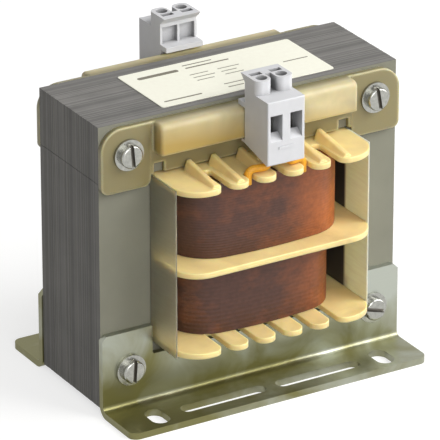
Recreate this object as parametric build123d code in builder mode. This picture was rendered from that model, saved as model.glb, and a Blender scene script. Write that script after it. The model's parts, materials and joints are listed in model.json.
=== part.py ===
from build123d import *
import math
import os

# Open safety transformer with an EI lamination core, in millimetres.
# The origin is the centre of the ground plane under the feet, +Z is up and -Y is the front.
# "Reach" is a distance outwards from the front face of the core.

# Lamination core
leg_width = 16.0
window_width = 16.0
window_height = 51.0
yoke_height = 17.0
stack_depth = 33.0
core_lift = 2.0

# Through bolts with their nuts and washers
bolt_diameter = 5.0
bolt_play = 0.5
bolt_from_side = 8.3
upper_bolt_drop = 9.0
lower_bolt_rise = 11.0
bolt_head_diameter = 9.1
bolt_head_height = 2.9
bolt_head_round = 1.7
recess_length = 5.2
recess_width = 1.1
recess_depth = 1.9
thread_stand_out = 1.5
thread_play = 0.1
nut_across_flats = 8.0
nut_height = 4.0
nut_face_diameter = 7.6
nut_bevel_height = 1.8
washer_diameter = 10.0
washer_thickness = 1.0
lock_washer_diameter = 8.8
lock_washer_thickness = 1.3
lock_washer_split = 0.9

# Folded brackets
bracket_thickness = 2.0
bracket_bend = 1.6
bracket_height = 16.0
bracket_overhang = 0.5
tab_height = 24.7
tab_from_window = 0.5
tab_chamfer = 1.4
notch_round = 0.8
foot_reach = 18.5
foot_corner = 2.6
slot_row_reach = 12.0
end_slot_from_end = 11.6
end_slot_length = 9.0
end_slot_width = 5.5
long_slot_length = 27.4
long_slot_width = 4.2
long_slot_spacing = 31.0

# Window insulation
sheet_thickness = 0.4
sheet_play = 0.1
sheet_reach = 14.0
right_sheet_slide = 2.0

# Coil former
former_play = 0.3
tube_wall = 1.4
tube_corner = 1.6
flange_thickness = 1.6
flange_reach = 18.6
flange_corner = 8.5
comb_count = 5
comb_pitch = 8.8
comb_depth = 13.0
lead_slot_depth = 6.4
comb_tip_round = 2.9
comb_tip_flat = 0.2
rib_foot_width = 4.0
rib_crest_width = 1.3
rib_round = 0.4
rib_root_height = 3.0
rib_tip_height = 0.8
rib_root_reach = 2.6
rib_tip_setback = 1.0
wide_rib_inset = 2.1

# Windings
winding_play = 0.15
primary_build = 11.0
primary_side_gap = 5.0
primary_corner = 13.0
secondary_build = 8.2
secondary_side_gap = 6.2
secondary_corner = 12.0
winding_bow = 2.6
corner_share = 0.8

# Terminal carriers
carrier_drop = 1.0
rear_carrier_rise = 0.6
ear_from_window = 0.5
ear_height = 18.8
ear_thickness = 1.8
ear_corner = 6.5
ear_foot_round = 2.2
plate_thickness = 1.6
plate_height = 15.6
rail_reach = 6.2
rail_height = 8.9
rail_gap = 0.9
rail_wall = 1.8
rail_round = 2.0
rail_end_round = 0.9
rail_pockets = 4
notch_width = 3.4
notch_height = 3.0
notch_from_ear = 1.0

# Two-pole terminals
terminal_shift = 0.4
housing_width = 11.9
housing_depth = 12.2
housing_stand_off = 0.4
housing_play = 0.1
housing_drop = 14.2
ledge_rise = 4.7
ledge_depth = 5.6
post_height = 4.2
post_gap = 1.8
post_gap_depth = 4.6
post_round = 1.9
lip_overhang = 2.3
lip_thickness = 2.2
clip_reach = 3.5
clip_thickness = 1.5
clip_play = 0.5
hook_reach = 1.7
hook_thickness = 0.8
housing_edge = 0.4
pole_pitch = 6.3
entry_width = 3.8
entry_height = 7.8
entry_below_ledge = 4.1
entry_depth = 10.0
sill_depth = 2.6
sill_rise = 1.9
bar_length = 4.8
bar_height = 0.8
bar_below_entry = 2.0
bar_proud = 0.25
driver_hole_diameter = 3.4
driver_hole_setback = 2.6
slot_setback = 5.7
slot_length = 3.6
slot_width = 0.9
slot_depth = 1.1
back_pocket_depth = 1.6
back_pocket_wall = 0.7
back_pocket_height = 5.0
cage_play = 0.1
cage_wall = 0.4
cage_length = 5.0
screw_head_height = 1.8
screw_head_sink = 1.4
screw_head_play = 0.1
screw_slot_width = 0.6
screw_slot_depth = 0.8
screw_bite = 1.6

# Coil leads
lead_diameter = 2.2
lead_play = 0.25
lead_lane = 1
lead_tuck = 1.2
lead_entry_reach = 14.8
lead_rise = 1.3
lead_into_housing = 4.4
secondary_exit_drop = 6.0
lead_bend = 1.8

# Rating label
label_width = 55.5
label_depth = 25.3
label_thickness = 0.2
label_corner = 0.8
label_shift_x = 1.7
label_shift_y = -0.9

# Levels and places worked out from the sizes above
half_depth = stack_depth / 2
half_width = 2 * leg_width + window_width
core_width = 2 * half_width
window_x = leg_width + window_width / 2
window_outer_x = leg_width + window_width
window_bottom = core_lift + yoke_height
seam_level = window_bottom + window_height
core_top = seam_level + yoke_height
bolt_x = half_width - bolt_from_side
upper_bolt_level = core_top - upper_bolt_drop
lower_bolt_level = core_lift + lower_bolt_rise
bolt_hole = bolt_diameter + bolt_play
both_sides = (-1, 1)

# Working plane on the front face of the core
core_face = Plane.XZ.offset(half_depth)


def side_plane(x):
    """Side view at this x, seen from the left, with reach across and height up."""
    return Plane(origin=(x, -half_depth, 0), x_dir=(0, -1, 0), z_dir=(-1, 0, 0))


def front_y(reach):
    """Y of a point that stands this far out from the front face of the core."""
    return -half_depth - reach


def bolt_seats(reach, level, front):
    """Planes at a left and a right bolt, facing outwards from the front or the rear of the core."""
    outward = -1 if front else 1
    return [
        Plane((side * bolt_x, outward * (half_depth + reach), level), x_dir=(1, 0, 0), z_dir=(0, outward, 0))
        for side in both_sides
    ]


def mirrored_to_rear(front_piece, rise=0):
    """Add the same piece again at the rear of the core, higher by the rise."""
    with Locations((0, 0, rise)):
        add(mirror(front_piece.part, about=Plane.XZ, mode=Mode.PRIVATE))


# E laminations: bottom yoke and three legs
with BuildPart() as e_laminations:
    with BuildSketch(Plane.XZ):
        with Locations((0, core_lift)):
            Rectangle(core_width, yoke_height + window_height, align=(Align.CENTER, Align.MIN))
        with Locations(*[(side * window_x, window_bottom) for side in both_sides]):
            Rectangle(window_width, window_height, align=(Align.CENTER, Align.MIN), mode=Mode.SUBTRACT)
        with Locations(*[(side * bolt_x, lower_bolt_level) for side in both_sides]):
            Circle(bolt_hole / 2, mode=Mode.SUBTRACT)
    extrude(amount=half_depth, both=True)

# I laminations: top yoke
with BuildPart() as i_laminations:
    with BuildSketch(Plane.XZ):
        with Locations((0, seam_level)):
            Rectangle(core_width, yoke_height, align=(Align.CENTER, Align.MIN))
        with Locations(*[(side * bolt_x, upper_bolt_level) for side in both_sides]):
            Circle(bolt_hole / 2, mode=Mode.SUBTRACT)
    extrude(amount=half_depth, both=True)

# Window insulation: one thin loose sheet along the inner side of each outer leg
sheet_x = window_outer_x - sheet_play - sheet_thickness / 2
sheet_depth = stack_depth + 2 * sheet_reach
sheet_height = window_height - 2 * former_play

with BuildPart() as left_window_insulation:
    with Locations((-sheet_x, 0, window_bottom + former_play)):
        Box(sheet_thickness, sheet_depth, sheet_height, align=(Align.CENTER, Align.CENTER, Align.MIN))

with BuildPart() as right_window_insulation:
    with Locations((sheet_x, right_sheet_slide, window_bottom + former_play)):
        Box(sheet_thickness, sheet_depth, sheet_height, align=(Align.CENTER, Align.CENTER, Align.MIN))

# Coil former: a tube round the middle leg with three flanges
flange_half_width = sheet_x - sheet_thickness / 2 - sheet_play
flange_half_depth = half_depth + flange_reach
tube_half_width = leg_width + former_play + tube_wall
tube_half_depth = half_depth + former_play + tube_wall
former_bottom = window_bottom + former_play
former_top = seam_level - former_play
divider_level = (former_bottom + former_top - flange_thickness) / 2
upper_flange_level = former_top - flange_thickness
comb_gap = lead_diameter + 2 * lead_play
comb_half_span = (comb_count - 1) / 2 * comb_pitch + comb_gap / 2
comb_places = [(index - (comb_count - 1) / 2) * comb_pitch for index in range(comb_count)]
finger_round = min(comb_tip_round, (comb_pitch - comb_gap - comb_tip_flat) / 2)
corner_round = min(flange_corner, flange_half_width - comb_half_span - finger_round - sheet_play)


def flange(level, slots):
    """One flange, with slots of the given (x, y, depth) cut in from the front and rear edges."""
    with BuildSketch(Plane.XY.offset(level)) as outline:
        Rectangle(2 * flange_half_width, 2 * flange_half_depth)
        for x, y, depth in slots:
            with Locations((x, y)):
                SlotOverall(2 * depth, comb_gap, rotation=90, mode=Mode.SUBTRACT)
        rows = vertices().group_by(Axis.Y)
        tips = rows[0].sort_by(Axis.X)[1:-1] + rows[-1].sort_by(Axis.X)[1:-1]
        fillet(tips, finger_round)
        fillet(vertices().group_by(Axis.X)[0] + vertices().group_by(Axis.X)[-1], corner_round)
    extrude(outline.sketch, amount=flange_thickness)


lane_x = lead_lane * comb_pitch
lead_slots = [(x, lead_slot_depth) for x in (-lane_x, lane_x)]
open_slots = [(x, comb_depth) for x in comb_places if abs(x) != lane_x]
flange_edges = [side * flange_half_depth for side in both_sides]
upper_slots = [(x, y, depth) for x, depth in lead_slots + open_slots for y in flange_edges]
lower_slots = [(x, y, comb_depth) for x in comb_places for y in flange_edges]
divider_slots = [(x, flange_half_depth, depth) for x, depth in lead_slots]
inner_fingers = [(low + high) / 2 for low, high in zip(comb_places, comb_places[1:])]
wide_fingers = [side * (comb_half_span + wide_rib_inset) for side in both_sides]
finger_rib_places = [(x, 0) for x in inner_fingers + wide_fingers]
rib_tip_reach = flange_reach - rib_tip_setback
lead_flat_reach = flange_reach - lead_slot_depth
rib_base = former_top - flange_thickness / 2

# A sloping rib that stiffens an upper finger, highest beside the core and narrower at the crest
with BuildPart() as finger_rib:
    for reach, height in ((rib_root_reach, rib_root_height), (rib_tip_reach, rib_tip_height)):
        with BuildSketch(core_face.offset(reach)):
            with BuildLine():
                Polyline(
                    (-rib_foot_width / 2, rib_base),
                    (rib_foot_width / 2, rib_base),
                    (rib_crest_width / 2, former_top + height),
                    (-rib_crest_width / 2, former_top + height),
                    close=True,
                )
            make_face()
    loft()
    crest = faces().sort_by(Axis.Z)[-1]
    fillet(crest.edges().filter_by(Axis.X, reverse=True), rib_round)

with BuildPart() as coil_former:
    flange(former_bottom, lower_slots)
    flange(divider_level, divider_slots)
    flange(upper_flange_level, upper_slots)
    with BuildSketch(Plane.XY.offset(former_bottom)):
        RectangleRounded(2 * tube_half_width, 2 * tube_half_depth, tube_corner)
    extrude(amount=former_top - former_bottom)
    with Locations(*finger_rib_places):
        add(finger_rib.part)
        add(finger_rib.part, rotation=(0, 0, 180))

    # The ribs of the two middle fingers end where the leads lie across
    with BuildSketch(Plane.XY.offset(former_top)):
        Rectangle(2 * lane_x, 2 * flange_half_depth)
        Rectangle(2 * lane_x, 2 * (half_depth + lead_flat_reach), mode=Mode.SUBTRACT)
    extrude(amount=rib_root_height, mode=Mode.SUBTRACT)

    # The bore takes the middle leg of the core
    with BuildSketch(Plane.XY.offset(former_bottom)):
        Rectangle(2 * (tube_half_width - tube_wall), 2 * (tube_half_depth - tube_wall))
    extrude(amount=former_top - former_bottom, mode=Mode.SUBTRACT)

# Windings: two coils on the tube, bowed out over its front and rear
primary_half_span = flange_half_width - primary_side_gap
secondary_half_span = flange_half_width - secondary_side_gap
primary_bottom = divider_level + flange_thickness + winding_play
primary_height = upper_flange_level - winding_play - primary_bottom
secondary_bottom = former_bottom + flange_thickness + winding_play
secondary_height = divider_level - winding_play - secondary_bottom
primary_reach = tube_half_depth - half_depth + primary_build
secondary_reach = tube_half_depth - half_depth + secondary_build


def winding(bottom, height, half_span, reach, corner):
    """One coil: a ring round the tube with a bowed front and rear and large round corners."""
    crown = half_depth + reach
    shoulder = crown - winding_bow
    with BuildSketch(Plane.XY.offset(bottom)) as outline:
        with BuildLine():
            front = ThreePointArc((-half_span, -shoulder), (0, -crown), (half_span, -shoulder))
            rear = ThreePointArc((half_span, shoulder), (0, crown), (-half_span, shoulder))
            Line(front @ 1, rear @ 0)
            Line(rear @ 1, front @ 0)
        make_face()
        fillet(vertices(), min(corner, corner_share * half_span, corner_share * shoulder))
    extrude(outline.sketch, amount=height)
    with BuildSketch(Plane.XY.offset(bottom)) as bore:
        RectangleRounded(
            2 * (tube_half_width + winding_play), 2 * (tube_half_depth + winding_play), tube_corner
        )
    extrude(bore.sketch, amount=height, mode=Mode.SUBTRACT)


with BuildPart() as primary_winding:
    winding(primary_bottom, primary_height, primary_half_span, primary_reach, primary_corner)

with BuildPart() as secondary_winding:
    winding(secondary_bottom, secondary_height, secondary_half_span, secondary_reach, secondary_corner)

# Brackets: a folded angle with a slotted foot and a tall tab at each end
bracket_half_length = half_width + bracket_overhang
end_slot_x = bracket_half_length - end_slot_from_end
long_slot_x = long_slot_spacing / 2
bracket_notch_width = 2 * (window_outer_x + tab_from_window)

with BuildPart() as front_mounting_bracket:
    with BuildSketch(side_plane(0)):
        with BuildLine():
            Polyline(
                (0, 0),
                (foot_reach, 0),
                (foot_reach, bracket_thickness),
                (bracket_thickness, bracket_thickness),
                (bracket_thickness, tab_height),
                (0, tab_height),
                close=True,
            )
        make_face()
        fillet(vertices().sort_by_distance((bracket_thickness, bracket_thickness))[0], bracket_bend)
        fillet(vertices().sort_by_distance((0, 0))[0], bracket_bend + bracket_thickness)
    extrude(amount=bracket_half_length, both=True)
    with BuildSketch(core_face):
        with Locations((0, bracket_height)):
            Rectangle(bracket_notch_width, tab_height, align=(Align.CENTER, Align.MIN))
        fillet(vertices().group_by(Axis.Y)[0], notch_round)
        with Locations(*[(side * bolt_x, lower_bolt_level) for side in both_sides]):
            Circle(bolt_hole / 2)
    extrude(amount=bracket_thickness, mode=Mode.SUBTRACT)
    with BuildSketch(Plane.XY):
        with Locations(*[(side * end_slot_x, front_y(slot_row_reach)) for side in both_sides]):
            SlotOverall(end_slot_length, end_slot_width, rotation=90)
        with Locations(*[(side * long_slot_x, front_y(slot_row_reach)) for side in both_sides]):
            SlotOverall(long_slot_length, long_slot_width)
    extrude(amount=bracket_thickness, mode=Mode.SUBTRACT)
    tab_edges = edges().filter_by(Axis.Y).group_by(Axis.Z)[-1].sort_by(Axis.X)
    chamfer([tab_edges[0], tab_edges[-1]], tab_chamfer)
    fillet(edges().filter_by(Axis.Z).group_by(Axis.Y)[0], foot_corner)

with BuildPart() as rear_mounting_bracket:
    mirrored_to_rear(front_mounting_bracket)

# Terminal carriers: bolted ears, a thin plate between them and a hollow rail along the top
ear_inner_x = window_outer_x + ear_from_window
ear_width = half_width - ear_inner_x
ear_x = half_width - ear_width / 2
rail_half_length = ear_inner_x - rail_gap
carrier_top = core_top - carrier_drop
rail_bottom = carrier_top - rail_height
rail_pocket_pitch = (2 * rail_half_length - rail_wall) / rail_pockets
rail_pocket_depth = rail_reach - rail_wall - plate_thickness
plate_bottom = carrier_top - plate_height
plate_notch_x = ear_inner_x - notch_from_ear - notch_width / 2


def ear_outlines():
    """The two ears, with a large round at each outer top corner."""
    with Locations(*[(side * ear_x, carrier_top) for side in both_sides]):
        Rectangle(ear_width, ear_height, align=(Align.CENTER, Align.MAX))
    columns = vertices().group_by(Axis.X)
    fillet((columns[0] + columns[-1]).group_by(Axis.Y)[-1], ear_corner)
    fillet(vertices().group_by(Axis.Y)[0], ear_foot_round)


with BuildPart() as undrilled_carrier:
    with BuildSketch(core_face):
        with Locations((0, carrier_top)):
            Rectangle(2 * ear_inner_x, plate_height, align=(Align.CENTER, Align.MAX))
        with Locations(*[(side * plate_notch_x, plate_bottom) for side in both_sides]):
            Rectangle(notch_width, notch_height, align=(Align.CENTER, Align.MIN), mode=Mode.SUBTRACT)
    extrude(amount=plate_thickness)
    with BuildSketch(core_face):
        ear_outlines()
    extrude(amount=ear_thickness)
    with BuildSketch(core_face):
        with Locations((0, carrier_top)):
            Rectangle(2 * rail_half_length, rail_height, align=(Align.CENTER, Align.MAX))
    extrude(amount=rail_reach)
    rail_face = faces().sort_by(Axis.Y)[0]
    fillet(rail_face.edges().sort_by(Axis.Z)[-1], rail_round)
    fillet(faces().sort_by(Axis.Y)[0].edges().filter_by(Axis.Z), rail_end_round)

    # The rail is moulded hollow, in pockets that are open below
    with BuildSketch(Plane.XY.offset(rail_bottom)):
        with Locations((0, front_y(plate_thickness + rail_pocket_depth / 2))):
            with GridLocations(rail_pocket_pitch, 1, rail_pockets, 1):
                Rectangle(rail_pocket_pitch - rail_wall, rail_pocket_depth)
    extrude(amount=rail_height - rail_wall, mode=Mode.SUBTRACT)

# Bolt holes go through the ears at the level of the bolts; the rear carrier sits higher on them
with BuildPart() as ear_holes:
    with BuildSketch(core_face):
        with Locations(*[(side * bolt_x, upper_bolt_level) for side in both_sides]):
            Circle(bolt_hole / 2)
    extrude(amount=ear_thickness)

with BuildPart() as front_terminal_carrier:
    add(undrilled_carrier.part)
    add(ear_holes.part, mode=Mode.SUBTRACT)

with BuildPart() as rear_terminal_carrier:
    mirrored_to_rear(undrilled_carrier, rear_carrier_rise)
    mirror(ear_holes.part, about=Plane.XZ, mode=Mode.SUBTRACT)

# Two-pole terminal housings, clipped over the rails; the rear one sits high in the play of its clip
housing_back = rail_reach + housing_stand_off
housing_front = housing_back + housing_depth
housing_bottom = core_top - housing_drop
ledge_level = core_top + ledge_rise
post_top = ledge_level + post_height
post_front = housing_front - ledge_depth
rear_terminal_rise = rear_carrier_rise + clip_play
clip_bottom = carrier_top + housing_play
clip_top = clip_bottom + clip_thickness
hook_top = rail_bottom - housing_play - clip_play
hook_bottom = hook_top - hook_thickness
entry_top = ledge_level - entry_below_ledge
entry_bottom = entry_top - entry_height
entry_back = housing_front - entry_depth
driver_reach = post_front - driver_hole_setback
pole_places = [terminal_shift + side * pole_pitch / 2 for side in both_sides]
sill_back = housing_front - sill_depth
lead_hole = lead_diameter + 2 * lead_play
back_pocket_width = (housing_width - 3 * back_pocket_wall) / 2
back_pocket_x = (back_pocket_width + back_pocket_wall) / 2

with BuildPart() as front_terminal_housing:
    with BuildSketch(side_plane(terminal_shift)):
        with BuildLine():
            Polyline(
                (housing_front, housing_bottom),
                (housing_front, ledge_level),
                (post_front, ledge_level),
                (post_front, post_top),
                (housing_back - lip_overhang, post_top),
                (housing_back, post_top - lip_thickness),
                (housing_back, clip_top),
                (housing_back - clip_reach, clip_top),
                (housing_back - clip_reach, clip_bottom),
                (housing_back, clip_bottom),
                (housing_back, hook_top),
                (housing_back - hook_reach, hook_top),
                (housing_back - hook_reach, hook_bottom),
                (housing_back, hook_bottom),
                close=True,
            )
        make_face()
    extrude(amount=housing_width / 2, both=True)
    front_edges = faces().sort_by(Axis.Y)[0].edges()
    fillet(front_edges, housing_edge)

    # Gap between the two posts, which are round towards the front
    with BuildSketch(core_face.offset(post_front)):
        with Locations((terminal_shift, ledge_level)):
            Rectangle(post_gap, post_height, align=(Align.CENTER, Align.MIN))
    extrude(amount=-post_gap_depth, mode=Mode.SUBTRACT)
    post_y = front_y(post_front)
    upright_edges = edges().filter_by(Axis.Z)
    fillet(upright_edges.filter_by_position(Axis.Y, post_y - housing_edge, post_y + housing_edge), post_round)

    # Wire entries at the front, each with a sloping sill, and a raised bar below them
    with BuildSketch(core_face.offset(housing_front)):
        with Locations(*[(x, entry_bottom) for x in pole_places]):
            Rectangle(entry_width, entry_height, align=(Align.CENTER, Align.MIN))
    extrude(amount=-entry_depth, mode=Mode.SUBTRACT)
    for pole_x in pole_places:
        with BuildSketch(side_plane(pole_x)):
            with BuildLine():
                Polyline(
                    (housing_front, entry_bottom),
                    (sill_back, entry_bottom),
                    (sill_back, entry_bottom + sill_rise),
                    close=True,
                )
            make_face()
        extrude(amount=entry_width / 2, both=True)
    with BuildSketch(core_face.offset(housing_front)):
        with Locations((terminal_shift, entry_bottom - bar_below_entry)):
            Rectangle(bar_length, bar_height)
    extrude(amount=bar_proud)

    # Driver holes and narrow slots in the tops of the posts
    with BuildSketch(Plane.XY.offset(post_top)):
        with Locations(*[(x, front_y(driver_reach)) for x in pole_places]):
            Circle(driver_hole_diameter / 2)
    extrude(amount=-(post_top - entry_top), mode=Mode.SUBTRACT)
    with BuildSketch(Plane.XY.offset(post_top)):
        with Locations(*[(x, front_y(post_front - slot_setback)) for x in pole_places]):
            Rectangle(slot_length, slot_width)
    extrude(amount=-slot_depth, mode=Mode.SUBTRACT)

    # Shallow pockets in the side towards the core
    with BuildSketch(core_face.offset(housing_back)):
        with Locations(*[(terminal_shift + side * back_pocket_x, clip_top) for side in both_sides]):
            Rectangle(back_pocket_width, back_pocket_height, align=(Align.CENTER, Align.MIN))
    extrude(amount=back_pocket_depth, mode=Mode.SUBTRACT)

    # Holes for the coil leads in the sloping underside
    with BuildSketch(Plane.XY.offset(entry_bottom)):
        with Locations(*[(x, front_y(lead_entry_reach)) for x in pole_places]):
            Circle(lead_hole / 2)
    extrude(amount=-(entry_bottom - housing_bottom), mode=Mode.SUBTRACT)

with BuildPart() as rear_terminal_housing:
    mirrored_to_rear(front_terminal_housing, rear_terminal_rise)

# Clamp cages: short metal tubes in the wire entries
cage_width = entry_width - 2 * cage_play
cage_height = entry_height - 2 * cage_play
cage_back = entry_back + cage_play
cage_top = entry_top - cage_play
screw_shank_diameter = cage_width - 2 * cage_wall - 2 * cage_play

with BuildPart() as front_clamp_cages:
    with BuildSketch(core_face.offset(cage_back)):
        with Locations(*[(x, cage_top) for x in pole_places]):
            Rectangle(cage_width, cage_height, align=(Align.CENTER, Align.MAX))
        with Locations(*[(x, cage_top - cage_wall) for x in pole_places]):
            Rectangle(
                cage_width - 2 * cage_wall,
                cage_height - 2 * cage_wall,
                align=(Align.CENTER, Align.MAX),
                mode=Mode.SUBTRACT,
            )
    extrude(amount=cage_length)
    with BuildSketch(Plane.XY.offset(cage_top)):
        with Locations(*[(x, front_y(driver_reach)) for x in pole_places]):
            Circle(screw_shank_diameter / 2 + thread_play)
    extrude(amount=-cage_wall, mode=Mode.SUBTRACT)

with BuildPart() as rear_clamp_cages:
    mirrored_to_rear(front_clamp_cages, rear_terminal_rise)

# Clamp screws: slotted heads down in the driver holes
screw_head_top = post_top - screw_head_sink
screw_bottom = cage_top - cage_wall - screw_bite

with BuildPart() as front_clamp_screws:
    with Locations(*[(x, front_y(driver_reach), screw_head_top) for x in pole_places]):
        Cylinder(
            driver_hole_diameter / 2 - screw_head_play,
            screw_head_height,
            align=(Align.CENTER, Align.CENTER, Align.MAX),
        )
        Cylinder(
            screw_shank_diameter / 2,
            screw_head_top - screw_bottom,
            align=(Align.CENTER, Align.CENTER, Align.MAX),
        )
        Box(
            driver_hole_diameter,
            screw_slot_width,
            screw_slot_depth,
            align=(Align.CENTER, Align.CENTER, Align.MAX),
            mode=Mode.SUBTRACT,
        )

with BuildPart() as rear_clamp_screws:
    mirrored_to_rear(front_clamp_screws, rear_terminal_rise)

# Fastener seats: on the front face of ears and brackets, and on the same pieces at the rear
upper_front_seats = bolt_seats(ear_thickness, upper_bolt_level, front=True)
upper_rear_seats = bolt_seats(ear_thickness, upper_bolt_level, front=False)
lower_front_seats = bolt_seats(bracket_thickness, lower_bolt_level, front=True)
lower_rear_seats = bolt_seats(bracket_thickness, lower_bolt_level, front=False)
nut_stack = washer_thickness + lock_washer_thickness + nut_height
upper_grip = stack_depth + 2 * ear_thickness + nut_stack + thread_stand_out
lower_grip = stack_depth + 2 * bracket_thickness + nut_stack + thread_stand_out
on_seat = (Align.CENTER, Align.CENTER, Align.MIN)
below_seat = (Align.CENTER, Align.CENTER, Align.MAX)


def pan_head_bolts(seats, grip):
    """Bolts with round heads and cross recesses, heads on the seats."""
    with Locations(*seats):
        Cylinder(bolt_head_diameter / 2, bolt_head_height, align=on_seat)
    fillet(edges().filter_by(GeomType.CIRCLE).group_by(Axis.Y)[0], bolt_head_round)
    with Locations(*seats):
        Cylinder(bolt_diameter / 2, grip, align=below_seat)
    with Locations(*[seat.offset(bolt_head_height) for seat in seats]):
        Box(recess_length, recess_width, recess_depth, align=below_seat, mode=Mode.SUBTRACT)
        Box(recess_width, recess_length, recess_depth, align=below_seat, mode=Mode.SUBTRACT)


def plain_washers(seats):
    """Flat rings on the seats."""
    with Locations(*seats):
        Cylinder(washer_diameter / 2, washer_thickness, align=on_seat)
        Cylinder(bolt_hole / 2, washer_thickness, align=on_seat, mode=Mode.SUBTRACT)


def lock_washers(seats):
    """Split spring rings on top of the plain washers."""
    with Locations(*[seat.offset(washer_thickness) for seat in seats]):
        Cylinder(lock_washer_diameter / 2, lock_washer_thickness, align=on_seat)
        Cylinder(bolt_hole / 2, lock_washer_thickness, align=on_seat, mode=Mode.SUBTRACT)
        with Locations((lock_washer_diameter / 2, 0, 0)):
            Box(
                lock_washer_diameter - bolt_diameter,
                lock_washer_split,
                lock_washer_thickness,
                align=on_seat,
                mode=Mode.SUBTRACT,
            )


# Hexagon nut in its own frame, with bevelled corners
with BuildPart() as hex_nut:
    with BuildSketch():
        RegularPolygon(nut_across_flats / 2, 6, major_radius=False)
    extrude(amount=nut_height)
    with BuildSketch(Plane.XZ):
        with BuildLine():
            Polyline(
                (0, 0),
                (nut_face_diameter / 2, 0),
                (nut_across_flats, nut_bevel_height),
                (nut_across_flats, nut_height - nut_bevel_height),
                (nut_face_diameter / 2, nut_height),
                (0, nut_height),
                close=True,
            )
        make_face()
    revolve(axis=Axis.Z, mode=Mode.INTERSECT)
    Cylinder(bolt_diameter / 2 + thread_play, nut_height, align=on_seat, mode=Mode.SUBTRACT)


def hex_nuts(seats):
    """Nuts on top of both washers."""
    with Locations(*[seat.offset(washer_thickness + lock_washer_thickness) for seat in seats]):
        add(hex_nut.part)


with BuildPart() as upper_bolts:
    pan_head_bolts(upper_front_seats, upper_grip)
with BuildPart() as lower_bolts:
    pan_head_bolts(lower_front_seats, lower_grip)
with BuildPart() as upper_washers:
    plain_washers(upper_rear_seats)
with BuildPart() as lower_washers:
    plain_washers(lower_rear_seats)
with BuildPart() as upper_lock_washers:
    lock_washers(upper_rear_seats)
with BuildPart() as lower_lock_washers:
    lock_washers(lower_rear_seats)
with BuildPart() as upper_nuts:
    hex_nuts(upper_rear_seats)
with BuildPart() as lower_nuts:
    hex_nuts(lower_rear_seats)

# Coil leads: sleeved wires through the comb slots and up into the underside of the housings
lead_top = former_top + lead_rise


def underside(reach):
    """Height of the sloping underside of a housing."""
    share = (reach - housing_back) / housing_depth
    return hook_bottom + share * (housing_bottom - hook_bottom)


def bowed_reach(half_span, reach, x):
    """How far the bowed face of a coil stands out at this x."""
    bow_radius = (half_span**2 + winding_bow**2) / (2 * winding_bow)
    return reach - bow_radius + math.sqrt(bow_radius**2 - x**2)


def lead(start, side, rise=0):
    """One sleeved lead: from the coil, flat across a finger and up to its end inside the housing."""
    entry_x = terminal_shift + side * pole_pitch / 2
    entry_y = front_y(lead_entry_reach)
    end_level = underside(lead_entry_reach) + rise + lead_into_housing
    with BuildLine() as route:
        FilletPolyline(
            *start,
            (side * lane_x, lane_y, lead_top),
            (entry_x, entry_y, lead_top),
            (entry_x, entry_y, end_level),
            radius=lead_bend,
        )
    with BuildSketch(Plane(origin=route.line @ 0, z_dir=route.line % 0)) as section:
        Circle(lead_diameter / 2)
    sweep(section.sketch, path=route.line)


primary_exit_level = primary_bottom + primary_height - lead_tuck
secondary_exit_level = divider_level - secondary_exit_drop
secondary_exit_y = front_y(bowed_reach(secondary_half_span, secondary_reach, lane_x) + lead_play)
lane_reach = bowed_reach(primary_half_span, primary_reach, lane_x) + lead_diameter / 2 + lead_play
lane_y = front_y(lane_reach)

with BuildPart() as primary_leads:
    for side in both_sides:
        lead([(side * lane_x, lane_y, primary_exit_level)], side)

with BuildPart() as secondary_leads_at_front:
    for side in both_sides:
        x = side * lane_x
        exit_points = [(x, secondary_exit_y, secondary_exit_level), (x, lane_y, secondary_exit_level)]
        lead(exit_points, side, rear_terminal_rise)

with BuildPart() as secondary_leads:
    mirrored_to_rear(secondary_leads_at_front)

# Rating label on the top yoke, left bare
with BuildPart() as rating_label:
    with BuildSketch(Plane.XY.offset(core_top)):
        with Locations((label_shift_x, label_shift_y)):
            RectangleRounded(label_width, label_depth, label_corner)
    extrude(amount=label_thickness)

pieces = {
    "e_laminations": e_laminations,
    "i_laminations": i_laminations,
    "coil_former": coil_former,
    "primary_winding": primary_winding,
    "secondary_winding": secondary_winding,
    "left_window_insulation": left_window_insulation,
    "right_window_insulation": right_window_insulation,
    "primary_leads": primary_leads,
    "secondary_leads": secondary_leads,
    "front_mounting_bracket": front_mounting_bracket,
    "rear_mounting_bracket": rear_mounting_bracket,
    "lower_bolts": lower_bolts,
    "lower_washers": lower_washers,
    "lower_lock_washers": lower_lock_washers,
    "lower_nuts": lower_nuts,
    "front_terminal_carrier": front_terminal_carrier,
    "rear_terminal_carrier": rear_terminal_carrier,
    "upper_bolts": upper_bolts,
    "upper_washers": upper_washers,
    "upper_lock_washers": upper_lock_washers,
    "upper_nuts": upper_nuts,
    "front_terminal_housing": front_terminal_housing,
    "rear_terminal_housing": rear_terminal_housing,
    "front_clamp_cages": front_clamp_cages,
    "rear_clamp_cages": rear_clamp_cages,
    "front_clamp_screws": front_clamp_screws,
    "rear_clamp_screws": rear_clamp_screws,
    "rating_label": rating_label,
}

os.makedirs("parts", exist_ok=True)
for name, piece in pieces.items():
    piece.part.label = name
    export_step(piece.part, f"parts/{name}.step")
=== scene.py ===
"""Looks of an open safety transformer: sheet stacks, coils, mouldings, fasteners, label and stage."""

import json
import math
import random

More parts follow.
